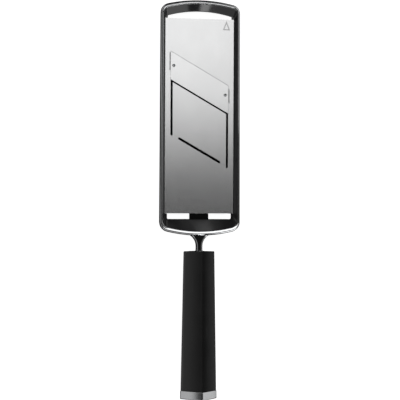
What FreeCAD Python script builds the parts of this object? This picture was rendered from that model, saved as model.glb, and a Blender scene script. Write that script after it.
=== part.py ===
"""Hand-held mandoline slicer with a slanted blade and an adjustable landing.

Frame: millimetres. X runs across the head, Y along the tool from the handle to the head's far end,
Z up out of the slicing face. The tool lies on its back, and the origin is at the middle of its base.
"""
import FreeCAD
import Part
import math
import os

V = FreeCAD.Vector

# ---- driving dimensions ----

# whole tool
HEAD_TOP_Y = 169.0
CAP_END_Y = -169.0
AXIS_Z = 15.89  # the handle's axis: half the end cap's height, so the cap's back ridge is at 0

# head outline, measured on the outside of the metal rim
RIM_BOTTOM_Y = -30.4
RIM_HALF_TOP = 34.2
RIM_HALF_BOTTOM = 34.7
RIM_ARCH_TOP_R = 126.0
RIM_ARCH_BOTTOM_R = 121.0
RIM_CORNER_TOP_R = 7.6
RIM_CORNER_BOTTOM_R = 8.6
RIM_SIDE_WIDTH = 1.95
RIM_TOP_WIDTH = 3.3
RIM_BOTTOM_WIDTH = 3.7
RIM_LOW_Z = 16.0
RIM_HIGH_Z = 20.8
RIM_OUTER_ROUND = 1.6
RIM_INNER_ROUND = 0.25
RIM_FLANGE_WIDTH = 1.2
RIM_FLANGE_TOP_Z = 17.2

# moulded frame, front and back halves
FRAME_FACE_Z = 19.6
FRAME_FOOT_Z = 3.0
SPLIT_Z = 8.3
FUNNEL_LOW_Z = 15.9
BACK_INSET = 2.3
BACK_FLANGE_INSET = 1.1
BACK_FLANGE_LOW_Z = 14.4
PLATE_FIT = 0.15
RECESS_HALF = 29.95
LEDGE_HALF = 27.7
LEDGE_Z = 11.4
CHANNEL_HALF = 28.8
CHANNEL_LOW_Z = 6.2
BACK_OPEN_HALF = 27.2
TOP_WINDOW_Y = 159.8
TOP_WINDOW_ARCH_R = 100.0
BOTTOM_WINDOW_Y = -16.5
WINDOW_CORNER_R = 1.2
WINDOW_LIP_Z = 14.9  # the frame's lip over each window ends here, and the wall below it steps back
WINDOW_STEP = 2.6
GAP_HALF = 27.8  # the windows are a little wider than the ledge that carries the plate
SCREW_X = 17.0
TOP_SCREW_Y = 163.0
LOW_SCREW_Y = -21.2
PILOT_R = 0.8
CLEARANCE_R = 1.0
SCREW_SHANK_R = 0.78
FRAME_HEAD_R = 1.5
FRAME_HEAD_H = 1.3
FRAME_HEAD_RECESS_R = 1.6
FRAME_HEAD_RECESS = 1.5
FRAME_SHANK_LENGTH = 7.0
SMALL_HEAD_R = 1.35  # the button's and the keeper's screws
SMALL_HEAD_RECESS_R = 1.45
TUNNEL_LOW_Z = 9.2
TUNNEL_HIGH_Z = 15.1

# slicing plate
PLATE_TOP_Y = 153.8
PLATE_BOTTOM_Y = -11.6
PLATE_HALF = 29.8
PLATE_Z = 15.2
SHEET = 1.0
EDGE_ROUND = 0.2
EDGE_DROP = 3.6

# slanted blade and landing flap, heights along Y given on the tool's centre line
SLANT = math.radians(29.5)
BLADE_EDGE_Y = 87.9
BLADE_BACK_Y = 111.9
BLADE_HALF = 25.0
BLADE_THICK = 0.8
BLADE_GAP = 0.2
BLADE_BEVEL = 2.6
BLADE_EDGE_LEFT = 0.08
BLADE_OVERHANG = 4.0
SLOT_WIDTH = 1.1
SIDE_SLOT_WIDTH = 1.85
SIDE_SLOT_PAST = 0.5  # how far the centre of a side slot's round end lies past the hinge line
FLAP_HALF = 23.2
HINGE_Y = 42.0
HINGE_SLOT_HALF = 18.3
HINGE_SLOT_WIDTH = 2.0
HINGE_GAP = 0.16
RIVET_R = 1.4
RIVET_X = 22.4
RIVET_SHARES = (0.545, 0.59)  # how far each rivet stands back from the edge, as a share of the blade's depth
BACK_GAP = 0.35
GROOVE_HALF = 0.45
GROOVE_DEPTH = 0.78
GROOVE_LEFT_SPAN = (16.6, 1.2)  # where each press line starts and ends, back from the blade's corner
GROOVE_RIGHT_SPAN = (15.4, 3.2)
RIVET_TAIL_PROUD = 0.6
RIVET_TAIL_H = 0.5
RIVET_DISH_R = 2.2
RIVET_DISH_LIFT = 1.75

# thickness adjustment
STEP_TRAVEL = 3.0
STEP_COUNT = 3
LANDING_DROP = 3.0  # how far the flap's free edge falls over the whole travel
FOOT_REACH = 20.0  # from the hinge line to the feet, square to the hinge
FOOT_X = 14.0
FOOT_R = 1.8
FOOT_LOW_Z = 11.2
FOOT_CLEARANCE = 0.08
RAMP_HALF = 3.4
RAMP_END = 4.0
TRAY_LOW_Z = 6.3
TRAY_HIGH_Z = 8.1
TRAY_HALF = 28.45
TRAY_BOTTOM_Y = 0.5
TRAY_PAST_BLADE = 2.5
STEM_HALF = 8.2
STEM_LOW_Z = 12.0
STEM_HIGH_Z = 13.9
STEM_BEVEL = 1.5
STEM_HEAD_Z = 14.9  # the tab on the stem's end fills the window nearly to the plate's face
STEM_HEAD_Y = -12.0
STEM_END_Y = -17.3
STEM_ROOT_Y = 10.5
DETENT_Y = 20.0
DETENT_GROOVE_R = 0.6
BUTTON_Y = 42.0
BUTTON_HALF_X = 9.0
BUTTON_HALF_Y = 6.0
BUTTON_LOW_Z = 3.15
BUTTON_POST_HALF = 4.0
KEEPER_LOW_Y = 8.0
KEEPER_HIGH_Y = 56.0
KEEPER_LOW_Z = 4.4
KEEPER_HIGH_Z = 5.8
KEEPER_EAR_Z = 3.15
KEEPER_EAR_HALF = 2.6
KEEPER_EAR_X = 31.1
KEEPER_SCREW_X = 29.9
KEEPER_HEAD_H = 0.7
KEEPER_HEAD_RECESS = 0.75
KEEPER_SHANK_LENGTH = 2.8
BUTTON_HEAD_H = 0.9
BUTTON_HEAD_RECESS = 1.1
BUTTON_SHANK_LENGTH = 2.4
DETENT_POCKET = 0.7

# handle
GRIP_TOP_Y = -43.7
GRIP_BOTTOM_Y = -162.0
GRIP_TOP_R = 13.8
GRIP_BOTTOM_R = 15.85
GRIP_WALL = 2.4
CAP_PROUD = 0.35
CORNER_R = 1.3
FACE_BULGE = 0.45
CORE_END_Y = -150.0
PLUG_TOP_Y = -150.5
FIT_GAP = 0.05
CAP_HEAD_R = 2.7
CAP_HEAD_H = 2.0
CAP_HEAD_RECESS_R = 3.0
CAP_SHANK_R = 1.15
CAP_SHANK_LENGTH = 18.0
CAP_CLEARANCE_R = 1.5
CAP_PILOT_R = 1.2
PIN_R = 1.5
PIN_HALF = 6.4
NECK_HALF = 2.65
NECK_DEPTH = 7.0
NECK_FLARE_R = 9.5
NECK_STRAIGHT_Y = -38.9
FERRULE_LENGTH = 1.2
FERRULE_PROUD = 0.15
TANG_HALF_WIDTH = 4.0
TANG_THICK = 4.0
TANG_STEP = 3.0
TANG_END_Y = -118.0

# a height above the whole head, for cuts that go right through
CUT_HIGH_Z = 40.0

# ---- derived dimensions ----

TRAVEL = STEP_TRAVEL * STEP_COUNT
TAN_SLANT = math.tan(SLANT)
COS_SLANT = math.cos(SLANT)
SIN_SLANT = math.sin(SLANT)
FLAP_EDGE_Y = BLADE_EDGE_Y - SLOT_WIDTH / COS_SLANT
FLAP_REACH = (FLAP_EDGE_Y - HINGE_Y) * COS_SLANT
TILT = math.asin(LANDING_DROP / FLAP_REACH)
RAMP_SLOPE = FOOT_REACH * math.sin(TILT) / TRAVEL
SLOT_HALF = FLAP_HALF + SIDE_SLOT_WIDTH
WINDOW_HALF = BLADE_HALF + BLADE_GAP
PLATE_UNDER_Z = PLATE_Z - SHEET
SHELF_TOP_Z = PLATE_Z - BLADE_THICK


# ---- small tools ----

def box(x0, x1, y0, y1, z0, z1):
    return Part.makeBox(x1 - x0, y1 - y0, z1 - z0, V(x0, y0, z0))


def prism(points, z0, z1):
    wire = Part.makePolygon([V(x, y, z0) for x, y in points] + [V(points[0][0], points[0][1], z0)])
    return Part.Face(wire).extrude(V(0, 0, z1 - z0))


def axis_box(half_width, y0, y1, half_depth):
    """A box centred on the handle's axis."""
    return box(-half_width, half_width, y0, y1, AXIS_Z - half_depth, AXIS_Z + half_depth)


def rod(radius, start, end):
    along = end - start
    return Part.makeCylinder(radius, along.Length, start, along)


def fuse_all(shapes):
    whole = shapes[0]
    for extra in shapes[1:]:
        whole = whole.fuse(extra)
    return whole.removeSplitter()


def edges_where(shape, test):
    return [edge for edge in shape.Edges if test(edge)]


def is_vertical(edge):
    start = edge.Vertexes[0].Point
    along = edge.Vertexes[-1].Point - start
    return abs(along.z) > 0.5 and math.hypot(along.x, along.y) < 1e-6


def lies_at(z):
    def test(edge):
        heights = [vertex.Z for vertex in edge.Vertexes] + [edge.CenterOfMass.z]
        return all(abs(height - z) < 1e-6 for height in heights)
    return test


def slanted(x, y_on_centre):
    """Y of a point on a line parallel to the blade that crosses the centre line at y_on_centre."""
    return y_on_centre - x * TAN_SLANT


def slanted_band(half_width, y_low, y_high, z0, z1):
    corners = [
        (-half_width, slanted(-half_width, y_low)),
        (half_width, slanted(half_width, y_low)),
        (half_width, slanted(half_width, y_high)),
        (-half_width, slanted(-half_width, y_high)),
    ]
    return prism(corners, z0, z1)


def head_prism(half_top, half_bottom, y_top, y_bottom, radii, corners, z0, z1):
    """A head outline with bowed ends and rounded corners, as an upright prism."""
    drop_top = radii[0] - math.sqrt(radii[0] ** 2 - half_top ** 2)
    drop_bottom = radii[1] - math.sqrt(radii[1] ** 2 - half_bottom ** 2)
    top_left = V(-half_top, y_top - drop_top, z0)
    top_right = V(half_top, y_top - drop_top, z0)
    bottom_left = V(-half_bottom, y_bottom + drop_bottom, z0)
    bottom_right = V(half_bottom, y_bottom + drop_bottom, z0)
    wire = Part.Wire([
        Part.Arc(top_left, V(0, y_top, z0), top_right).toShape(),
        Part.LineSegment(top_right, bottom_right).toShape(),
        Part.Arc(bottom_right, V(0, y_bottom, z0), bottom_left).toShape(),
        Part.LineSegment(bottom_left, top_left).toShape(),
    ])
    solid = Part.Face(wire).extrude(V(0, 0, z1 - z0))
    middle = (y_top + y_bottom) / 2
    upper = edges_where(solid, lambda edge: is_vertical(edge) and edge.CenterOfMass.y > middle)
    solid = solid.makeFillet(corners[0], upper)
    lower = edges_where(
        solid, lambda edge: is_vertical(edge) and edge.CenterOfMass.y < middle
        and abs(edge.CenterOfMass.x) > half_bottom - 0.01)
    return solid.makeFillet(corners[1], lower)


def rim_prism(side, top, bottom, z0, z1):
    """The rim's outline moved in by side at its flanks, and by top and bottom at its ends."""
    return head_prism(
        RIM_HALF_TOP - side, RIM_HALF_BOTTOM - side, HEAD_TOP_Y - top, RIM_BOTTOM_Y + bottom,
        (RIM_ARCH_TOP_R - top, RIM_ARCH_BOTTOM_R - bottom),
        (max(RIM_CORNER_TOP_R - side, 2.0), max(RIM_CORNER_BOTTOM_R - side, 2.0)), z0, z1)


def lip_prism(z0, z1, inset=0.0):
    return rim_prism(RIM_SIDE_WIDTH + inset, RIM_TOP_WIDTH + inset, RIM_BOTTOM_WIDTH + inset, z0, z1)


def screw(at, direction, head_r, head_h, shank_r, length):
    """A cross-recessed screw whose head's outer face is at `at`, driven along `direction`."""
    turn = FreeCAD.Rotation(V(0, 0, 1), direction)
    head = Part.makeCylinder(head_r, head_h)
    head = head.makeFillet(head_h * 0.35, edges_where(head, lies_at(0.0)))
    shank = Part.makeCylinder(shank_r, length, V(0, 0, head_h))
    tip = Part.makeCone(shank_r, shank_r * 0.4, shank_r, V(0, 0, head_h + length))
    recess_w = head_r * 0.32
    recess_l = head_r * 1.25
    slot_a = Part.makeBox(recess_l, recess_w, head_h * 0.6, V(-recess_l / 2, -recess_w / 2, 0))
    slot_b = Part.makeBox(recess_w, recess_l, head_h * 0.6, V(-recess_w / 2, -recess_l / 2, 0))
    body = head.fuse(shank).fuse(tip).cut(slot_a.fuse(slot_b))
    body.Placement = FreeCAD.Placement(at, turn)
    return body


# ---- metal rim, neck and ferrule ----

def make_rim():
    ring = rim_prism(0, 0, 0, RIM_LOW_Z, RIM_HIGH_Z)
    outer_edges = edges_where(ring, lambda e: lies_at(RIM_HIGH_Z)(e) or lies_at(RIM_LOW_Z)(e))
    ring = ring.makeFillet(RIM_OUTER_ROUND, outer_edges)
    hole = lip_prism(RIM_LOW_Z - 1, RIM_HIGH_Z + 1)
    ring = ring.cut(hole)
    lip_x = RIM_HALF_BOTTOM - RIM_SIDE_WIDTH + 0.01
    inner_edges = edges_where(
        ring, lambda e: lies_at(RIM_HIGH_Z)(e) and e.BoundBox.XMax < lip_x and e.BoundBox.XMin > -lip_x
        and hole.distToShape(Part.Vertex(e.valueAt((e.FirstParameter + e.LastParameter) / 2)))[0] < 1e-4)
    ring = ring.makeFillet(RIM_INNER_ROUND, inner_edges)
    flange = lip_prism(RIM_LOW_Z, RIM_FLANGE_TOP_Z).cut(
        lip_prism(RIM_LOW_Z - 1, RIM_HIGH_Z, RIM_FLANGE_WIDTH))
    return ring.fuse(flange).removeSplitter()


def neck_blank(z0, z1):
    centre_x = NECK_HALF + NECK_FLARE_R
    top_y = RIM_BOTTOM_Y + 1.6
    rise = top_y - NECK_STRAIGHT_Y
    reach = centre_x - math.sqrt(NECK_FLARE_R ** 2 - min(rise, NECK_FLARE_R * 0.999) ** 2)
    middle = math.radians(40)
    middle_x = centre_x - NECK_FLARE_R * math.cos(middle)
    middle_y = NECK_STRAIGHT_Y + NECK_FLARE_R * math.sin(middle)
    foot_y = GRIP_TOP_Y + FERRULE_LENGTH
    left_top, right_top = V(-reach, top_y, z0), V(reach, top_y, z0)
    left_waist, right_waist = V(-NECK_HALF, NECK_STRAIGHT_Y, z0), V(NECK_HALF, NECK_STRAIGHT_Y, z0)
    left_foot, right_foot = V(-NECK_HALF, foot_y, z0), V(NECK_HALF, foot_y, z0)
    pieces = [
        Part.LineSegment(left_top, right_top).toShape(),
        Part.Arc(right_top, V(middle_x, middle_y, z0), right_waist).toShape(),
        Part.LineSegment(right_waist, right_foot).toShape(),
        Part.LineSegment(right_foot, left_foot).toShape(),
        Part.LineSegment(left_foot, left_waist).toShape(),
        Part.Arc(left_waist, V(-middle_x, middle_y, z0), left_top).toShape(),
    ]
    return Part.Face(Part.Wire(pieces)).extrude(V(0, 0, z1 - z0))


def make_neck():
    low = AXIS_Z - NECK_DEPTH / 2
    high = AXIS_Z + NECK_DEPTH / 2
    blank = neck_blank(low, high)
    foot_y = GRIP_TOP_Y + FERRULE_LENGTH
    long_edges = edges_where(
        blank, lambda e: (lies_at(low)(e) or lies_at(high)(e)) and abs(e.CenterOfMass.x) > NECK_HALF * 0.9
        and foot_y + 0.1 < e.CenterOfMass.y)
    neck = blank.makeFillet(NECK_HALF * 0.7, long_edges)
    neck = neck.cut(rim_prism(0, 0, 0, 0, CUT_HIGH_Z))
    half_t = TANG_THICK / 2
    throat = axis_box(TANG_HALF_WIDTH / 2, GRIP_TOP_Y - TANG_STEP, foot_y + 0.5, half_t)
    tang = axis_box(TANG_HALF_WIDTH, TANG_END_Y, GRIP_TOP_Y - TANG_STEP, half_t)
    solid = neck.fuse(throat).fuse(tang)
    for y in tang_pin_places():
        solid = solid.cut(rod(PIN_R, V(0, y, AXIS_Z - PIN_HALF), V(0, y, AXIS_Z + PIN_HALF)))
    return solid.removeSplitter()


def tang_pin_places():
    return [GRIP_TOP_Y - 22, TANG_END_Y + 12]


def make_ferrule():
    half_width = NECK_HALF + FERRULE_PROUD
    ring = axis_box(half_width, GRIP_TOP_Y, GRIP_TOP_Y + FERRULE_LENGTH, NECK_DEPTH / 2 + FERRULE_PROUD)
    corner = edges_where(ring, lambda e: abs(e.Vertexes[0].Y - e.Vertexes[-1].Y) > 0.5)
    ring = ring.makeFillet(half_width * 0.7, corner)
    return ring.cut(axis_box(TANG_HALF_WIDTH / 2, GRIP_TOP_Y - 1, GRIP_TOP_Y + 5, TANG_THICK / 2))


# ---- moulded frame ----

def top_window(step, z0, z1):
    """The gap above the plate, its sides and top moved out by step."""
    low_y = PLATE_TOP_Y + PLATE_FIT - (1.0 if step == 0 else 0.0)
    half = GAP_HALF + step
    radius = TOP_WINDOW_ARCH_R + step
    side_y = TOP_WINDOW_Y + step - (radius - math.sqrt(radius ** 2 - half ** 2))
    low_left, low_right = V(-half, low_y, z0), V(half, low_y, z0)
    high_left, high_right = V(-half, side_y, z0), V(half, side_y, z0)
    wire = Part.Wire([
        Part.LineSegment(low_left, high_left).toShape(),
        Part.Arc(high_left, V(0, TOP_WINDOW_Y + step, z0), high_right).toShape(),
        Part.LineSegment(high_right, low_right).toShape(),
        Part.LineSegment(low_right, low_left).toShape(),
    ])
    solid = Part.Face(wire).extrude(V(0, 0, z1 - z0))
    upper = edges_where(solid, lambda e: is_vertical(e) and e.CenterOfMass.y > side_y - 0.1)
    return solid.makeFillet(WINDOW_CORNER_R, upper)


def bottom_window(step, z0, z1):
    """The gap below the plate, its sides moved out by step."""
    high_y = PLATE_BOTTOM_Y - PLATE_FIT + (1.0 if step == 0 else 0.0)
    half = GAP_HALF + step
    solid = box(-half, half, BOTTOM_WINDOW_Y, high_y, z0, z1)
    lower = edges_where(solid, lambda e: is_vertical(e) and e.CenterOfMass.y < BOTTOM_WINDOW_Y + 0.1)
    return solid.makeFillet(WINDOW_CORNER_R, lower)


def windows():
    """Both gaps, each with the wall under its lip stepped back, so that scraps fall through."""
    lips = top_window(0, 0, CUT_HIGH_Z).fuse(bottom_window(0, 0, CUT_HIGH_Z))
    steps = top_window(WINDOW_STEP, 0, WINDOW_LIP_Z).fuse(bottom_window(WINDOW_STEP, 0, WINDOW_LIP_Z))
    return lips.fuse(steps)


def funnel():
    """The sloping inside of the front frame, from its lip down to the plate."""
    low = head_prism(
        RECESS_HALF, RECESS_HALF, TOP_WINDOW_Y + 0.6, BOTTOM_WINDOW_Y - 0.6, (TOP_WINDOW_ARCH_R, 2000.0),
        (3.0, 3.0), FUNNEL_LOW_Z, FUNNEL_LOW_Z + 1)
    high = lip_prism(FRAME_FACE_Z, FRAME_FACE_Z + 1, 0.25)
    low_wire = [f for f in low.Faces if abs(f.CenterOfMass.z - FUNNEL_LOW_Z) < 1e-6][0].OuterWire
    high_wire = [f for f in high.Faces if abs(f.CenterOfMass.z - FRAME_FACE_Z) < 1e-6][0].OuterWire
    return Part.makeLoft([low_wire, high_wire], True, True)


def screw_places():
    """Frame screws: two above the top window, two in the bottom band."""
    return [(-SCREW_X, TOP_SCREW_Y), (SCREW_X, TOP_SCREW_Y), (-SCREW_X, LOW_SCREW_Y), (SCREW_X, LOW_SCREW_Y)]


def tunnel(low_z):
    """The space in the bottom band that the slider's stem runs into."""
    end_y = STEM_END_Y - TRAVEL - 0.4
    return box(-STEM_HALF - 0.3, STEM_HALF + 0.3, end_y, BOTTOM_WINDOW_Y + 1, low_z, TUNNEL_HIGH_Z)


def make_front_frame():
    lip = lip_prism(RIM_FLANGE_TOP_Z, FRAME_FACE_Z)
    skirt = lip_prism(SPLIT_Z, RIM_FLANGE_TOP_Z, RIM_FLANGE_WIDTH + 0.02)
    solid = lip.fuse(skirt)
    solid = solid.cut(funnel())
    low_y, high_y = PLATE_BOTTOM_Y - PLATE_FIT, PLATE_TOP_Y + PLATE_FIT
    recess = box(-RECESS_HALF, RECESS_HALF, low_y, high_y, LEDGE_Z, FRAME_FACE_Z + 1)
    below = box(-LEDGE_HALF, LEDGE_HALF, low_y, high_y, 0, LEDGE_Z + 1)
    solid = solid.cut(recess).cut(below)
    solid = solid.cut(windows())
    solid = solid.cut(tunnel(SPLIT_Z - 1))
    for x, y in screw_places():
        solid = solid.cut(rod(PILOT_R, V(x, y, SPLIT_Z - 1), V(x, y, SPLIT_Z + 5)))
    return solid.removeSplitter()


def make_back_frame():
    wall = rim_prism(BACK_INSET, BACK_INSET, BACK_INSET, FRAME_FOOT_Z, BACK_FLANGE_LOW_Z)
    foot_edges = edges_where(wall, lies_at(FRAME_FOOT_Z))
    wall = wall.makeFillet(0.8, foot_edges)
    flange = rim_prism(BACK_FLANGE_INSET, BACK_FLANGE_INSET, BACK_FLANGE_INSET, BACK_FLANGE_LOW_Z, RIM_LOW_Z)
    solid = wall.fuse(flange)
    solid = solid.cut(lip_prism(SPLIT_Z, RIM_HIGH_Z, RIM_FLANGE_WIDTH))
    channel_top_y = PLATE_TOP_Y - 20
    channel_low_y = TRAY_BOTTOM_Y - TRAVEL - 0.5
    channel = box(-CHANNEL_HALF, CHANNEL_HALF, channel_low_y, channel_top_y, CHANNEL_LOW_Z, SPLIT_Z + 1)
    low_y, high_y = PLATE_BOTTOM_Y - PLATE_FIT, PLATE_TOP_Y + PLATE_FIT
    opening = box(-BACK_OPEN_HALF, BACK_OPEN_HALF, low_y, high_y, 0, SPLIT_Z + 1)
    solid = solid.cut(channel).cut(opening)
    solid = solid.cut(windows()).cut(tunnel(TUNNEL_LOW_Z))
    for x, y in screw_places():
        solid = solid.cut(rod(CLEARANCE_R, V(x, y, 0), V(x, y, CUT_HIGH_Z)))
        solid = solid.cut(rod(FRAME_HEAD_RECESS_R, V(x, y, 0), V(x, y, FRAME_FOOT_Z + FRAME_HEAD_RECESS)))
    for x, y in keeper_screw_places():
        solid = solid.cut(rod(PILOT_R, V(x, y, 0), V(x, y, SPLIT_Z - 0.2)))
        solid = solid.cut(keeper_ear(x, y, 0.15, 0, KEEPER_LOW_Z + 0.02))
    return solid.removeSplitter()


def make_frame_screws():
    head_z = FRAME_FOOT_Z + 0.1
    size = (FRAME_HEAD_R, FRAME_HEAD_H, SCREW_SHANK_R, FRAME_SHANK_LENGTH)
    return [screw(V(x, y, head_z), V(0, 0, 1), *size) for x, y in screw_places()]


# ---- slicing plate, blade and rivets ----

def rivet_places():
    depth = BLADE_BACK_Y - BLADE_EDGE_Y
    sides = zip((-RIVET_X, RIVET_X), RIVET_SHARES)
    return [(x, slanted(x, BLADE_EDGE_Y + depth * share)) for x, share in sides]


def rivet_holes(z0, z1):
    left, right = [rod(RIVET_R, V(x, y, z0), V(x, y, z1)) for x, y in rivet_places()]
    return left.fuse(right)


def hinge_slot(z0, z1):
    half = HINGE_SLOT_WIDTH / 2
    end = HINGE_SLOT_HALF - half
    start_point = V(-end, slanted(-end, HINGE_Y), z0)
    end_point = V(end, slanted(end, HINGE_Y), z0)
    up = V(0, 0, z1 - z0)
    across = V(SIN_SLANT, COS_SLANT, 0) * half
    corners = [start_point + across, end_point + across, end_point - across, start_point - across]
    corners.append(corners[0])
    bar = Part.Face(Part.makePolygon(corners)).extrude(up)
    left = Part.makeCylinder(half, z1 - z0, start_point)
    right = Part.makeCylinder(half, z1 - z0, end_point)
    return bar.fuse(left).fuse(right)


def make_plate():
    """The sheet, its side edges folded down, with the blade's shelf pressed down out of it."""
    low_z = PLATE_Z - EDGE_DROP
    blank = box(-PLATE_HALF, PLATE_HALF, PLATE_BOTTOM_Y, PLATE_TOP_Y, low_z, PLATE_Z)
    long_edges = edges_where(
        blank, lambda e: lies_at(PLATE_Z)(e) and abs(e.CenterOfMass.x) > PLATE_HALF - 0.01
    )
    plate = blank.makeFillet(EDGE_ROUND, long_edges)
    inner_half = PLATE_HALF - SHEET
    plate = plate.cut(box(-inner_half, inner_half, PLATE_BOTTOM_Y - 1, PLATE_TOP_Y + 1, 0, PLATE_UNDER_Z))
    blade_window = slanted_band(WINDOW_HALF, BLADE_EDGE_Y - 0.5, BLADE_BACK_Y, 0, CUT_HIGH_Z)
    flap_window = slanted_band(SLOT_HALF, HINGE_Y, BLADE_EDGE_Y, 0, CUT_HIGH_Z)
    plate = plate.cut(blade_window).cut(flap_window).cut(hinge_slot(0, CUT_HIGH_Z))
    for side in (-1, 1):
        x = side * (FLAP_HALF + SIDE_SLOT_WIDTH / 2)
        end_y = slanted(x, HINGE_Y) - SIDE_SLOT_PAST
        reach = SIDE_SLOT_WIDTH / 2
        plate = plate.cut(rod(reach, V(x, end_y, 0), V(x, end_y, CUT_HIGH_Z)))
        plate = plate.cut(box(x - reach, x + reach, end_y, slanted(x, HINGE_Y) + 2, 0, CUT_HIGH_Z))
    shelf_low_y = BLADE_EDGE_Y + BLADE_OVERHANG / COS_SLANT
    shelf = slanted_band(WINDOW_HALF + 0.8, shelf_low_y, BLADE_BACK_Y + 1.2, SHELF_TOP_Z - SHEET, SHELF_TOP_Z)
    plate = plate.fuse(shelf).cut(rivet_holes(0, CUT_HIGH_Z))
    for x, low_y, high_y in press_lines():
        half, depth = GROOVE_HALF * 1.1, GROOVE_DEPTH * 1.1
        top_z = PLATE_Z + GROOVE_DEPTH * 0.1
        corners = [V(x - half, low_y, top_z), V(x + half, low_y, top_z), V(x, low_y, top_z - depth)]
        plate = plate.cut(Part.Face(Part.makePolygon(corners + corners[:1])).extrude(V(0, high_y - low_y, 0)))
    return plate.removeSplitter()


def press_lines():
    """The two sharp grooves beside the blade, where its shelf was pressed down out of the sheet."""
    x = WINDOW_HALF + GROOVE_HALF
    left_y, right_y = slanted(-BLADE_HALF, BLADE_BACK_Y), slanted(BLADE_HALF, BLADE_BACK_Y)
    return [
        (-x, left_y - GROOVE_LEFT_SPAN[0], left_y - GROOVE_LEFT_SPAN[1]),
        (x, right_y - GROOVE_RIGHT_SPAN[0], right_y - GROOVE_RIGHT_SPAN[1])]


def make_blade():
    blade = slanted_band(BLADE_HALF, BLADE_EDGE_Y, BLADE_BACK_Y - BACK_GAP, SHELF_TOP_Z, PLATE_Z)
    grind = math.atan((BLADE_THICK - BLADE_EDGE_LEFT) / BLADE_BEVEL)
    wedge = Part.makeBox(200, 40, 10, V(-100, -40, -10))
    wedge.rotate(V(0, 0, 0), V(1, 0, 0), -math.degrees(grind))
    wedge.translate(V(0, BLADE_BEVEL, 0))
    wedge.rotate(V(0, 0, 0), V(0, 0, 1), -math.degrees(SLANT))
    wedge.translate(V(0, BLADE_EDGE_Y, SHELF_TOP_Z))
    return blade.cut(wedge).cut(rivet_holes(0, CUT_HIGH_Z))


def make_blade_rivets():
    rivets = []
    for x, y in rivet_places():
        shank = rod(RIVET_R, V(x, y, SHELF_TOP_Z - SHEET), V(x, y, PLATE_Z))
        tail_z = SHELF_TOP_Z - SHEET - RIVET_TAIL_H
        tail = Part.makeCylinder(RIVET_R + RIVET_TAIL_PROUD, RIVET_TAIL_H, V(x, y, tail_z))
        tail = tail.makeFillet(0.3, edges_where(tail, lies_at(tail_z)))
        dish = Part.makeSphere(RIVET_DISH_R, V(x, y, PLATE_Z + RIVET_DISH_LIFT))
        rivets.append(shank.fuse(tail).cut(dish).removeSplitter())
    return rivets


# ---- landing flap and its runner ----

def make_flap():
    flap = slanted_band(FLAP_HALF, HINGE_Y + HINGE_GAP / 2 / COS_SLANT, FLAP_EDGE_Y, PLATE_UNDER_Z, PLATE_Z)
    flap = flap.cut(hinge_slot(0, CUT_HIGH_Z))
    front = edges_where(
        flap, lambda e: lies_at(PLATE_Z)(e)
        and abs(e.CenterOfMass.y - slanted(e.CenterOfMass.x, FLAP_EDGE_Y)) < 0.01)
    return flap.makeChamfer(0.3, front)


def foot_places():
    line_y = HINGE_Y + FOOT_REACH / COS_SLANT
    return [(side * FOOT_X, slanted(side * FOOT_X, line_y)) for side in (-1, 1)]


def make_flap_runner():
    """The bearer under the flap: a slanted bar with two round-nosed feet."""
    bar_half = 3.4 / COS_SLANT
    line_y = HINGE_Y + FOOT_REACH / COS_SLANT
    parts = [slanted_band(20.0, line_y - bar_half, line_y + bar_half, PLATE_UNDER_Z - 1.4, PLATE_UNDER_Z)]
    for x, y in foot_places():
        centre_z = FOOT_LOW_Z + FOOT_R
        nose = Part.makeSphere(FOOT_R, V(x, y, centre_z))
        post = rod(FOOT_R, V(x, y, centre_z), V(x, y, PLATE_UNDER_Z))
        nose = nose.common(box(x - 5, x + 5, y - 5, y + 5, 0, PLATE_UNDER_Z))
        parts.append(nose.fuse(post))
    return fuse_all(parts)


# ---- thickness slider, its button, keeper and detent ----

def ramp_block(x, y):
    """A ramp under one foot. Its top falls towards +Y and clears the foot at rest."""
    incline = math.atan(RAMP_SLOPE)
    contact_y = y - FOOT_R * math.sin(incline)
    contact_z = FOOT_LOW_Z + FOOT_R - FOOT_R * math.cos(incline) - FOOT_CLEARANCE
    start = y - RAMP_END
    end = y + TRAVEL + RAMP_END
    start_z = contact_z - (start - contact_y) * RAMP_SLOPE
    end_z = contact_z - (end - contact_y) * RAMP_SLOPE
    base_z = TRAY_HIGH_Z - 0.5
    side_x = x - RAMP_HALF
    outline = [
        V(side_x, start, base_z), V(side_x, end, base_z), V(side_x, end, end_z), V(side_x, start, start_z),
        V(side_x, start, base_z)]
    return Part.Face(Part.makePolygon(outline)).extrude(V(2 * RAMP_HALF, 0, 0))


def detent_places():
    return [DETENT_Y + STEP_TRAVEL * step for step in range(STEP_COUNT + 1)]


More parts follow.
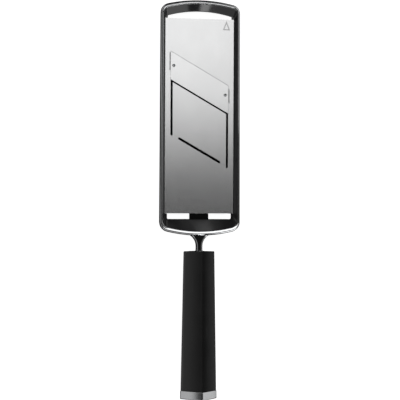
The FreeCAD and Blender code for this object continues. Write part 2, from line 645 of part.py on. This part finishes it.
def make_slider():
    top_y = BLADE_EDGE_Y + TRAY_PAST_BLADE / COS_SLANT
    corners = [
        (-TRAY_HALF, TRAY_BOTTOM_Y), (TRAY_HALF, TRAY_BOTTOM_Y),
        (TRAY_HALF, slanted(TRAY_HALF, top_y)), (-TRAY_HALF, slanted(-TRAY_HALF, top_y))]
    parts = [prism(corners, TRAY_LOW_Z, TRAY_HIGH_Z)]
    parts += [ramp_block(x, y) for x, y in foot_places()]
    stem = box(-STEM_HALF, STEM_HALF, STEM_END_Y, STEM_ROOT_Y, STEM_LOW_Z, STEM_HIGH_Z)
    low_edges = edges_where(
        stem, lambda e: lies_at(STEM_LOW_Z)(e) and abs(e.CenterOfMass.x) > STEM_HALF - 0.01
    )
    stem = stem.makeChamfer(STEM_BEVEL, low_edges)
    stem = stem.fuse(box(-STEM_HALF, STEM_HALF, STEM_END_Y, STEM_HEAD_Y, STEM_HIGH_Z - 0.2, STEM_HEAD_Z))
    riser = box(-STEM_HALF, STEM_HALF, TRAY_BOTTOM_Y, STEM_ROOT_Y, TRAY_LOW_Z, STEM_LOW_Z + 1)
    parts += [stem, riser]
    solid = fuse_all(parts)
    for y in detent_places():
        solid = solid.cut(rod(DETENT_GROOVE_R, V(-3, y, TRAY_LOW_Z), V(3, y, TRAY_LOW_Z)))
    solid = solid.cut(rod(PILOT_R, V(0, BUTTON_Y, 0), V(0, BUTTON_Y, TRAY_HIGH_Z - 0.4)))
    return solid.removeSplitter()


def make_slider_button():
    """The thumb button behind the head: a ribbed pad on a short post that passes through the keeper."""
    pad = box(
        -BUTTON_HALF_X, BUTTON_HALF_X, BUTTON_Y - BUTTON_HALF_Y, BUTTON_Y + BUTTON_HALF_Y, BUTTON_LOW_Z,
        KEEPER_LOW_Z - 0.15)
    pad = pad.makeFillet(1.5, edges_where(pad, is_vertical))
    pad = pad.makeFillet(0.3, edges_where(pad, lies_at(BUTTON_LOW_Z)))
    for step in (-2, -1, 1, 2):
        y = BUTTON_Y + step * 2.2
        pad = pad.cut(rod(0.5, V(-20, y, BUTTON_LOW_Z), V(20, y, BUTTON_LOW_Z)))
    post = box(
        -BUTTON_POST_HALF, BUTTON_POST_HALF, BUTTON_Y - BUTTON_POST_HALF, BUTTON_Y + BUTTON_POST_HALF,
        KEEPER_LOW_Z - 0.5, TRAY_LOW_Z)
    solid = pad.fuse(post)
    solid = solid.cut(rod(CLEARANCE_R, V(0, BUTTON_Y, 0), V(0, BUTTON_Y, CUT_HIGH_Z)))
    recess_z = BUTTON_LOW_Z + BUTTON_HEAD_RECESS
    solid = solid.cut(rod(SMALL_HEAD_RECESS_R, V(0, BUTTON_Y, 0), V(0, BUTTON_Y, recess_z)))
    return solid.removeSplitter()


def make_button_screw():
    size = (SMALL_HEAD_R, BUTTON_HEAD_H, SCREW_SHANK_R, BUTTON_SHANK_LENGTH)
    return screw(V(0, BUTTON_Y, BUTTON_LOW_Z + 0.2), V(0, 0, 1), *size)


def keeper_screw_places():
    return [(side * KEEPER_SCREW_X, y) for side in (-1, 1) for y in (KEEPER_LOW_Y + 5, KEEPER_HIGH_Y - 5)]


def keeper_ear(x, y, gap, z0, z1):
    """The block that one keeper screw holds, grown by gap where it is cut out of the frame."""
    near, far = sorted((math.copysign(BACK_OPEN_HALF - 1.2 - gap, x), math.copysign(KEEPER_EAR_X + gap, x)))
    reach = KEEPER_EAR_HALF + gap
    return box(near, far, y - reach, y + reach, z0, z1)


def make_keeper():
    """The rear cover: it holds the slider up in its channel and guides the button."""
    half = BACK_OPEN_HALF - 0.1
    solid = box(-half, half, KEEPER_LOW_Y, KEEPER_HIGH_Y, KEEPER_LOW_Z, KEEPER_HIGH_Z)
    slot_half = BUTTON_POST_HALF + 0.25
    slot_low_y = BUTTON_Y - BUTTON_POST_HALF - TRAVEL - 0.4
    slot_high_y = BUTTON_Y + BUTTON_POST_HALF + 0.4
    solid = solid.cut(box(-slot_half, slot_half, slot_low_y, slot_high_y, 0, CUT_HIGH_Z))
    for x, y in keeper_screw_places():
        solid = solid.fuse(keeper_ear(x, y, 0, KEEPER_EAR_Z, KEEPER_LOW_Z))
        solid = solid.cut(rod(CLEARANCE_R, V(x, y, 0), V(x, y, CUT_HIGH_Z)))
        solid = solid.cut(rod(SMALL_HEAD_RECESS_R, V(x, y, 0), V(x, y, KEEPER_EAR_Z + KEEPER_HEAD_RECESS)))
    pocket = box(
        -4.6, 4.6, DETENT_Y - 7.0, DETENT_Y + 7.0, KEEPER_HIGH_Z - DETENT_POCKET, KEEPER_HIGH_Z + 1)
    return solid.cut(pocket).removeSplitter()


def make_keeper_screws():
    head_z = KEEPER_EAR_Z + 0.05
    size = (SMALL_HEAD_R, KEEPER_HEAD_H, SCREW_SHANK_R, KEEPER_SHANK_LENGTH)
    return [screw(V(x, y, head_z), V(0, 0, 1), *size) for x, y in keeper_screw_places()]


def make_detent_spring():
    """A leaf in the keeper's pocket, with a round bump under the slider's grooves."""
    low = KEEPER_HIGH_Z - DETENT_POCKET
    leaf = box(-4.4, 4.4, DETENT_Y - 6.8, DETENT_Y + 6.8, low, low + 0.3)
    bump_r = 1.2
    bump_z = TRAY_LOW_Z - 0.05 - bump_r
    bump = rod(bump_r, V(-2.5, DETENT_Y, bump_z), V(2.5, DETENT_Y, bump_z))
    bump = bump.common(box(-5, 5, DETENT_Y - 2, DETENT_Y + 2, low, low + 3))
    return leaf.fuse(bump).removeSplitter()


# ---- handle ----

def section(radius, y, bulge):
    """A square set on its corner about the handle's axis, with slightly bowed faces."""
    def points(reach, turns):
        return [V(reach * math.cos(turn), y, AXIS_Z + reach * math.sin(turn)) for turn in turns]

    corners = points(radius, [math.radians(90 * quarter) for quarter in range(4)])
    middles = points(radius / math.sqrt(2) + bulge, [math.radians(90 * quarter + 45) for quarter in range(4)])
    arcs = [Part.Arc(corners[i], middles[i], corners[(i + 1) % 4]).toShape() for i in range(4)]
    return Part.Wire(arcs)


def grip_radius(y):
    share = (GRIP_TOP_Y - y) / (GRIP_TOP_Y - GRIP_BOTTOM_Y)
    return GRIP_TOP_R + (GRIP_BOTTOM_R - GRIP_TOP_R) * share


def handle_bar(y0, y1, inset, corner):
    """A length of the tapered handle, its faces moved in by inset."""
    shrink = inset * math.sqrt(2)
    ends = [section(grip_radius(y) - shrink, y, FACE_BULGE) for y in (y0, y1)]
    bar = Part.makeLoft(ends, True, True)
    long_edges = edges_where(bar, lambda e: abs(e.Vertexes[0].Y - e.Vertexes[-1].Y) > abs(y0 - y1) * 0.9)
    return bar.makeFillet(corner, long_edges)


def end_edges(solid, y):
    def test(edge):
        places = [vertex.Y for vertex in edge.Vertexes] + [edge.CenterOfMass.y]
        return all(abs(place - y) < 1e-5 for place in places)
    return edges_where(solid, test)


def make_grip():
    outer = handle_bar(GRIP_TOP_Y, GRIP_BOTTOM_Y, 0, CORNER_R)
    outer = outer.makeFillet(0.6, end_edges(outer, GRIP_TOP_Y))
    inner = handle_bar(GRIP_TOP_Y - 2.2, GRIP_BOTTOM_Y - 1, GRIP_WALL, 0.5)
    hole = axis_box(TANG_HALF_WIDTH / 2, GRIP_TOP_Y - 5, GRIP_TOP_Y + 5, TANG_THICK / 2)
    return outer.cut(inner).cut(hole)


def make_core():
    """The moulded core that grips the tang and fills the shell."""
    core = handle_bar(GRIP_TOP_Y - 2.3, CORE_END_Y, GRIP_WALL + FIT_GAP, 0.45)
    half_t = TANG_THICK / 2
    core = core.cut(axis_box(TANG_HALF_WIDTH, TANG_END_Y - 0.5, GRIP_TOP_Y - TANG_STEP, half_t))
    core = core.cut(axis_box(TANG_HALF_WIDTH / 2, GRIP_TOP_Y - 4, GRIP_TOP_Y, half_t))
    for y in tang_pin_places():
        core = core.cut(rod(PIN_R, V(0, y, AXIS_Z - PIN_HALF - 0.1), V(0, y, AXIS_Z + PIN_HALF + 0.1)))
    pilot = rod(CAP_PILOT_R, V(0, CORE_END_Y - 1, AXIS_Z), V(0, CORE_END_Y + 12, AXIS_Z))
    return core.cut(pilot).removeSplitter()


def make_tang_pins():
    return [rod(PIN_R, V(0, y, AXIS_Z - PIN_HALF), V(0, y, AXIS_Z + PIN_HALF)) for y in tang_pin_places()]


def make_cap_plug():
    plug = handle_bar(PLUG_TOP_Y, GRIP_BOTTOM_Y - 0.01, GRIP_WALL + FIT_GAP, 0.45)
    spigot = handle_bar(GRIP_BOTTOM_Y, CAP_END_Y + 1.6, 1.2, 1.0)
    plug = plug.fuse(spigot)
    plug = plug.cut(rod(CAP_CLEARANCE_R, V(0, PLUG_TOP_Y + 1, AXIS_Z), V(0, CAP_END_Y, AXIS_Z)))
    recess = rod(CAP_HEAD_RECESS_R, V(0, GRIP_BOTTOM_Y - 2, AXIS_Z), V(0, CAP_END_Y, AXIS_Z))
    return plug.cut(recess).removeSplitter()


def make_cap_screw():
    size = (CAP_HEAD_R, CAP_HEAD_H, CAP_SHANK_R, CAP_SHANK_LENGTH)
    return screw(V(0, GRIP_BOTTOM_Y - 4, AXIS_Z), V(0, 1, 0), *size)


def make_end_cap():
    """The bright end cap: a deep-drawn cup pushed over the plug."""
    outer = handle_bar(GRIP_BOTTOM_Y, CAP_END_Y, -CAP_PROUD / math.sqrt(2), CORNER_R)
    outer = outer.makeFillet(0.9, end_edges(outer, CAP_END_Y))
    outer = outer.makeFillet(0.3, end_edges(outer, GRIP_BOTTOM_Y))
    inner = handle_bar(GRIP_BOTTOM_Y + 1, CAP_END_Y + 1.5, 1.15, 0.9)
    return outer.cut(inner)


PARTS = {
    "rim": make_rim,
    "neck": make_neck,
    "neck_ferrule": make_ferrule,
    "front_frame": make_front_frame,
    "back_frame": make_back_frame,
    "frame_screws": make_frame_screws,
    "slicing_plate": make_plate,
    "blade": make_blade,
    "blade_rivets": make_blade_rivets,
    "landing_flap": make_flap,
    "flap_runner": make_flap_runner,
    "thickness_slider": make_slider,
    "slider_button": make_slider_button,
    "button_screw": make_button_screw,
    "slider_keeper": make_keeper,
    "keeper_screws": make_keeper_screws,
    "detent_spring": make_detent_spring,
    "grip_shell": make_grip,
    "handle_core": make_core,
    "tang_pins": make_tang_pins,
    "cap_plug": make_cap_plug,
    "cap_screw": make_cap_screw,
    "end_cap": make_end_cap,
}

os.makedirs("parts", exist_ok=True)
for name, make in PARTS.items():
    made = make()
    shape = Part.makeCompound(made) if isinstance(made, list) else made
    shape.exportStep("parts/" + name + ".step")
    box_of = shape.BoundBox
    print("%-18s solids %d valid %s volume %8.1f  x %.2f..%.2f y %.2f..%.2f z %.2f..%.2f" % (
        name, len(shape.Solids), shape.isValid(), shape.Volume,
        box_of.XMin, box_of.XMax, box_of.YMin, box_of.YMax, box_of.ZMin, box_of.ZMax))
print("tilt %.3f deg, flap reach %.3f mm, ratio %.4f rad per m" % (
    math.degrees(TILT), FLAP_REACH, TILT / (TRAVEL / 1000)))
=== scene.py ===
import math
import bmesh
import bpy
from mathutils import Matrix, Vector


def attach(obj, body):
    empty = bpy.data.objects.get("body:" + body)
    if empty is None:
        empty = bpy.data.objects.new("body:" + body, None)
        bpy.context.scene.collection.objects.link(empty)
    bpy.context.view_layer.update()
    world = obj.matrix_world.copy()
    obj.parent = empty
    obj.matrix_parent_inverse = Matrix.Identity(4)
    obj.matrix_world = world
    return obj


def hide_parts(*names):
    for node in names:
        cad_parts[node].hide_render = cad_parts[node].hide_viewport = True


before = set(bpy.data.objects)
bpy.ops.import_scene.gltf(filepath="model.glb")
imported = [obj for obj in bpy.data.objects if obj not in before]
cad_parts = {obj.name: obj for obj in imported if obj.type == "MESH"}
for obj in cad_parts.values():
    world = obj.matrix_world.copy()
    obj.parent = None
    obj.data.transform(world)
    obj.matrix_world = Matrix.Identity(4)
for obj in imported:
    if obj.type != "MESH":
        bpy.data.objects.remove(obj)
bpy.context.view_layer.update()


# ---- rim ----
# The bright hoop that frames the head: one zinc casting, polished by hand and chrome plated.
# Its inner flange traps the moulded frame, and the neck is cast in one with it.

class Wire:
    """A socket in a node tree that can be written in sums: 1 - wire * 2 adds its Math nodes."""

    def __init__(self, socket):
        self.socket = socket

    @staticmethod
    def node(tree, kind, settings, sockets, out=0):
        """Adds one node. Settings are set first, then sockets, by name or number, get values or wires."""
        made = tree.nodes.new(kind)
        for name, value in settings.items():
            setattr(made, name, value)
        for name, value in sockets.items():
            if isinstance(value, Wire):
                tree.links.new(value.socket, made.inputs[name])
            else:
                made.inputs[name].default_value = value
        return Wire(made.outputs[out])

    def add_node(self, kind, settings, sockets, out=0):
        return Wire.node(self.socket.id_data, kind, settings, sockets, out)

    def math(self, operation, first, second=0.0):
        return self.add_node("ShaderNodeMath", {"operation": operation}, {0: first, 1: second})

    def __add__(self, other):
        return self.math("ADD", self, other)

    def __radd__(self, other):
        return self.math("ADD", other, self)

    def __sub__(self, other):
        return self.math("SUBTRACT", self, other)

    def __rsub__(self, other):
        return self.math("SUBTRACT", other, self)

    def __mul__(self, other):
        return self.math("MULTIPLY", self, other)

    def __rmul__(self, other):
        return self.math("MULTIPLY", other, self)

    def __truediv__(self, other):
        return self.math("DIVIDE", self, other)

    def __abs__(self):
        return self.math("ABSOLUTE", self)

    def split(self):
        """This vector's X, Y and Z, as three wires."""
        first = self.add_node("ShaderNodeSeparateXYZ", {}, {0: self})
        return [Wire(part) for part in first.socket.node.outputs]

    def rise(self, low, high):
        """0 below low and 1 above high, with a smooth rise between."""
        settings = {"interpolation_type": "SMOOTHSTEP"}
        return self.add_node("ShaderNodeMapRange", settings, {0: self, 1: low, 2: high, 3: 0.0, 4: 1.0})

    def blend(self, colour_off, colour_on):
        """A colour that goes from colour_off to colour_on as this wire goes from 0 to 1."""
        ends = [c if isinstance(c, Wire) else (*c, 1.0) for c in (colour_off, colour_on)]
        settings = {"data_type": "RGBA"}
        return self.add_node("ShaderNodeMix", settings, {0: self, 6: ends[0], 7: ends[1]}, 2)


def new_finish(name, settings):
    """A Principled material with its constant sockets set. Returns the material, its tree and its shader."""
    material = bpy.data.materials.new(name)
    material.use_nodes = True
    tree = material.node_tree
    shader = tree.nodes["Principled BSDF"]
    for socket, value in settings.items():
        shader.inputs[socket].default_value = value
    return material, tree, shader


def feed(tree, shader, **wires):
    """Links wires to the shader's sockets, written with _ for a space."""
    for name, wire in wires.items():
        tree.links.new(wire.socket, shader.inputs[name.replace("_", " ")])


def places(tree):
    """The point on the piece, in metres in the tool's own frame."""
    return Wire.node(tree, "ShaderNodeTexCoord", {}, {}, "Object")


def noise(place, scale, detail=2.0, stretch=(1.0, 1.0, 1.0), shift=0.0):
    """Soft noise from 0 to 1. A small stretch along an axis draws it out along that axis."""
    spread = place.add_node(
        "ShaderNodeMapping", {}, {0: place, 1: (shift, shift, shift), 3: stretch})
    return place.add_node("ShaderNodeTexNoise", {}, {0: spread, 2: scale, 3: detail})


def bump(height, strength, distance):
    """A normal from a height wire. Distance is in metres."""
    sockets = {"Strength": strength, "Distance": distance, "Height": height}
    return height.add_node("ShaderNodeBump", {}, sockets)


def dress(name, material):
    """Gives a CAD node its one finish."""
    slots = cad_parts[name].data.materials
    slots.clear()
    slots.append(material)


def polished_metal(name, tint, roughness, ripple):
    """Hand-polished plate: faint wheel lines, a slow ripple and slightly duller patches."""
    material, tree, shader = new_finish(name, {"Metallic": 1.0})
    place = places(tree)
    cloud = noise(place, 55.0, 3.0)
    lines = noise(place, 900.0, 2.0, (1.0, 0.06, 1.0))
    wave = noise(place, 38.0, 1.0, shift=0.4)
    dull = cloud.rise(0.45, 0.75)
    feed(
        tree, shader,
        Base_Color=dull.blend(tint, [channel * 0.93 for channel in tint]),
        Roughness=roughness + 0.035 * dull + 0.03 * lines,
        Normal=bump(wave * ripple + lines * 0.012, 1.0, 0.0004))
    return material


def closed_hoop(name, rings_of_points):
    """A hoop whose skin joins each ring of points to the next, and the last one to the first."""
    smooth_below = math.radians(38)
    skin = bmesh.new()
    rings = [[skin.verts.new(point) for point in ring] for ring in rings_of_points]
    for ring, after in zip(rings, rings[1:] + rings[:1]):
        for i, corner in enumerate(ring):
            j = (i + 1) % len(ring)
            skin.faces.new((corner, ring[j], after[j], after[i]))
    bmesh.ops.recalc_face_normals(skin, faces=skin.faces)
    mesh = bpy.data.meshes.new(name)
    skin.to_mesh(mesh)
    skin.free()
    mesh.shade_smooth()
    mesh.set_sharp_from_angle(angle=smooth_below)
    piece = bpy.data.objects.new(name, mesh)
    bpy.context.scene.collection.objects.link(piece)
    return piece


def rim_outline(side, end_high, end_low):
    """Points in mm round the head, moved in by side at its flanks and by the other two at its ends."""
    bow_steps, corner_steps = 20, 18
    points = []
    # half width, tip, bow radius, corner radius, and 1 for the far end or -1 for the neck's end
    for half, tip, bow, corner, up in (
            (34.2 - side, 169.0 - end_high, 126.0 - end_high, 7.6 - side, 1),
            (34.7 - side, -30.4 + end_low, 121.0 - end_low, 8.6 - side, -1)):
        bow_y = tip - up * bow
        corner_x = half - corner
        corner_y = bow_y + up * math.sqrt((bow - corner) ** 2 - corner_x ** 2)
        swing = math.asin(corner_x / (bow - corner))
        quarter = []
        for i in range(bow_steps):
            turn = swing * i / bow_steps
            quarter.append((bow * math.sin(turn), bow_y + up * bow * math.cos(turn)))
        for i in range(corner_steps + 1):
            turn = swing + (math.pi / 2 - swing) * i / corner_steps
            quarter.append((corner_x + corner * math.sin(turn), corner_y + up * corner * math.cos(turn)))
        points.extend(quarter if up == 1 else quarter[::-1])
    return points + [(-x, y) for x, y in points[-2:0:-1]]


# Across the bead: from the outer wall up a quarter round to the crest, then down the slope that
# faces inwards. The crest lies near the inner edge at the head's far end and near the outer edge
# beside the neck. Each spot is its share of the way across and its height in mm.
mm = 0.001
side_width, top_width, bottom_width, flange_width = 1.95, 3.3, 3.7, 1.2
hoop_low_z, wall_low_z, flange_top_z, wall_top_z, bead_rise = 16.0, 16.5, 17.2, 19.0, 1.9
crest_z = wall_top_z + bead_rise
steepest = math.radians(82)
bead_steps, slope_steps = 16, 8
outside, inside = rim_outline(0, 0, 0), rim_outline(side_width, top_width, bottom_width)
flange = rim_outline(side_width + flange_width, top_width + flange_width, bottom_width + flange_width)
hoop_rings = []
for out_point, in_point, flange_point in zip(outside, inside, flange):
    out_way, in_way, deep_way = (Vector(point) for point in (out_point, in_point, flange_point))
    inward = in_way - out_way
    crest = 0.72 - (0.22 if inward.y > 0 else 0.04) * inward.y / inward.length
    slope_width = (1 - crest) * inward.length
    spots = [(0.12, hoop_low_z), (0.0, wall_low_z), (0.0, wall_top_z)]
    for i in range(1, bead_steps + 1):
        bend = steepest * i / bead_steps
        share = crest * (1 - math.cos(bend)) / (1 - math.cos(steepest))
        spots.append((share, wall_top_z + bead_rise * math.sin(bend)))
    for i in range(slope_steps + 1):
        down = i / slope_steps
        spots.append((crest + (0.93 - crest) * down, crest_z - 0.20 * slope_width * down ** 1.5))
    edge_z = spots[-1][1]
    spots += [(0.97, edge_z - 0.1), (1.0, edge_z - 0.3), (1.0, flange_top_z)]
    ring = [out_way + inward * share for share, _ in spots] + [deep_way, deep_way]
    heights = [height for _, height in spots] + [flange_top_z, hoop_low_z]
    hoop_rings.append([(spot.x * mm, spot.y * mm, height * mm) for spot, height in zip(ring, heights)])
hoop = closed_hoop("rim_bead", hoop_rings)
rim_metal = polished_metal("polished_rim", (0.83, 0.84, 0.85), 0.045, 0.08)
hoop.data.materials.append(rim_metal)
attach(hoop, "tool")
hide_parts("rim")


# ---- neck ----
# The waist between head and handle, cast in one with the rim and plated with it. A flat tang
# runs on from it into the grip, where nobody sees it.

dress("neck", rim_metal)


# ---- front frame ----
# The black moulded surround inside the rim: fine-sparked nylon, held by the rim's flange. It
# slopes down to the plate and carries it on a ledge.

def moulded_black(name, tone, roughness, shine, grain_size, grain_depth):
    """Black moulded plastic: a fine sparked grain, soft flow clouds and a few paler rub marks."""
    material, tree, shader = new_finish(name, {"Specular IOR Level": shine})
    place = places(tree)
    cloud = noise(place, 42.0, 3.0)
    grain = noise(place, 1.0 / grain_size, 2.0)
    rubs = noise(place, 160.0, 4.0, (1.0, 0.18, 1.0), 0.7).rise(0.62, 0.74)
    pale = [tone * 1.7, tone * 1.7, tone * 1.75]
    feed(
        tree, shader,
        Base_Color=(cloud.rise(0.3, 0.7) * 0.35 + rubs * 0.4).blend((tone, tone, tone * 1.05), pale),
        Roughness=roughness + 0.03 * cloud + 0.06 * rubs,
        Normal=bump(grain, 0.35, grain_depth))
    return material


frame_black = moulded_black("moulded_frame", 0.036, 0.06, 0.55, 0.0005, 0.000002)
dress("front_frame", frame_black)


# ---- back frame and its screws ----
# The rear half of the surround, moulded in the same nylon. Four cross-recessed screws go in
# from the back and pull the two halves together round the rim's flange.

dress("back_frame", frame_black)
screw_metal = polished_metal("screw_metal", (0.62, 0.63, 0.64), 0.2, 0.05)
dress("frame_screws", screw_metal)


# ---- slicing plate ----
# Stainless sheet with its side edges folded down. It is brushed lengthwise, and pierced with
# slanted openings for the blade and round the landing flap.

def brushed_sheet(name, tint, roughness, mark=None):
    """Sheet brushed along the tool, with strokes, haze and stains, and an etched triangle at mark."""
    material, tree, shader = new_finish(name, {"Metallic": 1.0})
    place = places(tree)
    hair = noise(place, 5200.0, 1.0, (1.0, 0.006, 1.0))
    strokes = noise(place, 1500.0, 2.0, (1.0, 0.010, 1.0), 0.3)
    haze = noise(place, 24.0, 3.0, (1.0, 0.6, 1.0), 0.9)
    stains = noise(place, 60.0, 3.0, (1.0, 0.7, 1.0), 2.3).rise(0.35, 0.75)
    colour = ((hair * 0.5 + strokes * 0.5).rise(0.25, 0.75) * 0.5 + stains * 0.5).blend(
        [channel * 0.965 for channel in tint], [channel * 1.03 for channel in tint])
    dullness = roughness + 0.02 * strokes + 0.03 * haze
    if mark:
        sideways, along, _ = place.split()
        slope = abs(sideways - mark[0]) * 0.93 + (along - mark[1]) * 0.37
        reach = slope.math("MAXIMUM", slope, mark[1] - along)
        etched = (1 - reach.rise(0.0020, 0.0023)) * reach.rise(0.0010, 0.0013)
        colour = etched.blend(colour, [channel * 0.76 for channel in tint])
        dullness = dullness + 0.1 * etched
    feed(
        tree, shader,
        Base_Color=colour,
        Roughness=dullness,
        Normal=bump(hair * 0.6 + strokes * 0.8, 0.35, 0.000003))
    return material


mark_place = (0.0232, 0.1468)
plate_steel = brushed_sheet("brushed_plate", (0.69, 0.692, 0.694), 0.20, mark_place)
dress("slicing_plate", plate_steel)


# ---- blade and its rivets ----
# A strip of hardened steel, ground flat on top and sharpened from below. Two dished rivets
# hold it down on the plate's joggled shelf.

blade_steel = brushed_sheet("ground_blade", (0.70, 0.702, 0.704), 0.19)
dress("blade", blade_steel)
dress("blade_rivets", screw_metal)


# ---- landing flap and its runner ----
# The part of the sheet in front of the blade. It bends down at its slanted lower slot when the
# slider lets its moulded runner fall.

dress("landing_flap", plate_steel)
# The works share the frame's moulded black but get a far darker tone: their own black with painted shade, for
# the dark under the plate seen through the slots and the lower window.
works_black_painted_shade = moulded_black("moulded_works", 0.003, 0.35, 0.1, 0.0004, 0.00002)
dress("flap_runner", works_black_painted_shade)


# ---- thickness slider, button, keeper and detent ----
# The moulded tray behind the plate with its two ramps and the tab across the lower window. A
# ribbed button moves it from the back, and the keeper holds it in with four small screws.

for part in ("thickness_slider", "slider_button", "slider_keeper"):
    dress(part, works_black_painted_shade)
for part in ("button_screw", "keeper_screws"):
    dress(part, screw_metal)
dress("detent_spring", brushed_sheet("spring_leaf", (0.5, 0.51, 0.53), 0.25))


# ---- grip ----
# A tapered bar, square on its corner, moulded over the core in dark satin rubbery plastic. The
# tang, its two cross pins and the core are hidden in it.

def satin_skin_with_painted_light(name, dark, pale):
    """Soft-touch skin with painted light: dark along the shaded ridge, lighter towards its edges and over the
    whole left face, where the light falls, plus random clouds and scuffs.
    """
    material, tree, shader = new_finish(name, {"Specular IOR Level": 0.02})
    place = places(tree)
    sideways, along, _ = place.split()
    half_width = 0.0125 - along * 0.0175  # the bar widens towards the cap
    aside = abs(sideways) / half_width
    # painted light: the whole left face is made paler, as the light falls on that side
    lit_left_side = (0 - sideways).rise(-0.001, 0.001)
    cloud = noise(place, 42.0, 3.0)
    grain = noise(place, 3500.0, 2.0)
    scuffs = noise(place, 240.0, 4.0, (1.0, 0.12, 1.0), 0.7).rise(0.60, 0.76)
    # painted shade and highlight: each face lightens from the shaded ridge to a painted highlight on its
    # edge, more on the lit left side; the clouds and scuffs are the skin's own random tone
    face = aside.rise(0.0, 1.0) * (0.28 + lit_left_side * 0.12)
    edge = aside.rise(0.86, 1.0) * (0.10 + lit_left_side * 0.32)
    painted_light_and_wear = face + edge + lit_left_side * 0.18 + cloud * 0.1 - 0.05 + scuffs * 0.06
    feed(
        tree, shader,
        Base_Color=painted_light_and_wear.blend([dark] * 3, [pale] * 3),
        Roughness=0.38 + 0.08 * cloud + 0.05 * scuffs,
        Normal=bump(grain, 0.35, 0.00002))
    return material


# The grip's colour holds painted light: dark is the shaded ridge's tone and pale the lit left edge's tone.
grip_black = satin_skin_with_painted_light("satin_grip", 0.014, 0.20)
dress("grip_shell", grip_black)
dress("handle_core", works_black_painted_shade)
dress("tang_pins", screw_metal)
dress("cap_plug", works_black_painted_shade)


# ---- ferrule and end cap ----
# Drawn steel, polished bright: a thin collar where the neck goes in, and a deep cup over the
# plug at the other end.

cap_metal = polished_metal("polished_cap", (0.80, 0.81, 0.82), 0.10, 0.12)
dress("neck_ferrule", cap_metal)
dress("cap_screw", screw_metal)
dress("end_cap", cap_metal)


# ---- floor, light and camera ----
# A pale glowing table under the tool, one wide soft box over the head, three low ones at the
# handle's end, and a dim room with pale bands on its walls and one lamp.

floor_mesh = bpy.data.meshes.new("floor")
half_floor = 6.0
floor_z = -0.0004
floor_corners = [(x * half_floor, y * half_floor, floor_z) for x, y in ((-1, -1), (1, -1), (1, 1), (-1, 1))]
floor_mesh.from_pydata(floor_corners, [], [(0, 1, 2, 3)])
floor = bpy.data.objects.new("floor", floor_mesh)
bpy.context.scene.collection.objects.link(floor)
floor_white, _, _ = new_finish(
    "floor_white", {"Base Color": (0.85, 0.85, 0.85, 1.0), "Roughness": 0.9, "Specular IOR Level": 0.1,
                    "Emission Color": (1.0, 1.0, 1.0, 1.0), "Emission Strength": 0.97})
floor_mesh.materials.append(floor_white)
floor.visible_glossy = False
floor.visible_diffuse = False


def soft_box(name, centre, target, width, height, radiance):
    """A rectangular soft box whose face looks at target. Radiance 1 shows white in a mirror."""
    light = bpy.data.lights.new(name, "AREA")
    light.shape = "RECTANGLE"
    light.size = width
    light.size_y = height
    light.energy = radiance * math.pi * width * height
    holder = bpy.data.objects.new(name, light)
    holder.location = centre
    holder.rotation_mode = "QUATERNION"
    holder.rotation_quaternion = (Vector(target) - Vector(centre)).to_track_quat("-Z", "Y")
    bpy.context.scene.collection.objects.link(holder)


def box_towards(name, swing, lift, reach, width, height, radiance):
    """A soft box facing the head's far end, swing degrees round from -Y towards +X and lift degrees up."""
    far_end = (0.0, 0.16, 0.0)
    swing_way, lift_way = math.radians(swing), math.radians(lift)
    flat = reach * math.cos(lift_way)
    centre = (flat * math.sin(swing_way), far_end[1] - flat * math.cos(swing_way), reach * math.sin(lift_way))
    soft_box(name, centre, far_end, width, height, radiance)


soft_box("head_light", (0.12, 0.455, 1.30), (0.12, 0.455, 0.0), 0.76, 0.68, 1.38)
box_towards("foot_wide", 33.0, 25.0, 1.4, 0.66, 0.8, 1.3)
box_towards("foot_slim", 11.2, 24.5, 1.4, 0.085, 0.30, 3.8)
box_towards("foot_low", -12.0, 25.0, 1.4, 0.94, 0.6, 0.55)

world = bpy.data.worlds.new("room")
bpy.context.scene.world = world
world.use_nodes = True
sky = world.node_tree
way = Wire.node(sky, "ShaderNodeTexCoord", {}, {}, "Generated")
across, fore, up = way.split()


def wall(side, middle, half_height, fade):
    """A pale band on the room's wall, 1 at its middle height, fading out above and below."""
    return (across * side).rise(0.2, 0.7) * (1 - abs(up - middle).rise(half_height, half_height + fade))


ahead = fore.rise(-0.03, 0.10)
lamp_place = (0.165, 0.637, 0.753)
near_lamp = way.add_node(
    "ShaderNodeVectorMath", {"operation": "DOT_PRODUCT"}, {0: way, 1: lamp_place}, "Value")
low_walls = 0.45 * wall(-1, 0.14, 0.06, 0.14) + 0.55 * wall(1, -0.14, 0.16, 0.12)
left_glow = wall(-1, -0.09, 0.06, 0.08) * (0.1 + 0.5 * ahead) + 0.10 * wall(-1, 0.55, 0.10, 0.15)
right_glow = wall(1, 0.47, 0.06, 0.14) * (0.2 + 0.7 * ahead)
right_ceiling = 0.05 * across.rise(0.24, 0.4) * up.rise(0.5, 0.8)
far_glow = 0.22 * fore.rise(0.35, 0.55) * (1 - abs(up - 0.77).rise(0.06, 0.16))
lamp = 3.4 * near_lamp.rise(0.9975, 0.9999)
dim_base = 0.006
glow = dim_base + low_walls + left_glow + right_glow + right_ceiling + far_glow + lamp
room = glow.blend((0.0, 0.0, 0.0), (1.0, 1.0, 1.0))
sky.links.new(room.socket, sky.nodes["Background"].inputs["Color"])

EYE_SIDE = math.radians(12.0)
EYE_ROLL = math.radians(0.26)
EYE_DISTANCE = 1.30
VIEW_WIDTH = 0.340
aim = Vector((0.00083, -0.0002, 0.0152))
turn = Matrix.Rotation(-EYE_SIDE, 4, "Y") @ Matrix.Rotation(EYE_ROLL, 4, "Z")
camera_data = bpy.data.cameras.new("camera")
camera_data.sensor_width = 36.0
camera_data.lens = 36.0 * EYE_DISTANCE / VIEW_WIDTH
camera = bpy.data.objects.new("camera", camera_data)
camera.matrix_world = Matrix.Translation(aim) @ turn @ Matrix.Translation((0, 0, EYE_DISTANCE))
bpy.context.scene.collection.objects.link(camera)
bpy.context.scene.camera = camera
bpy.context.scene.view_settings.view_transform = "Standard"
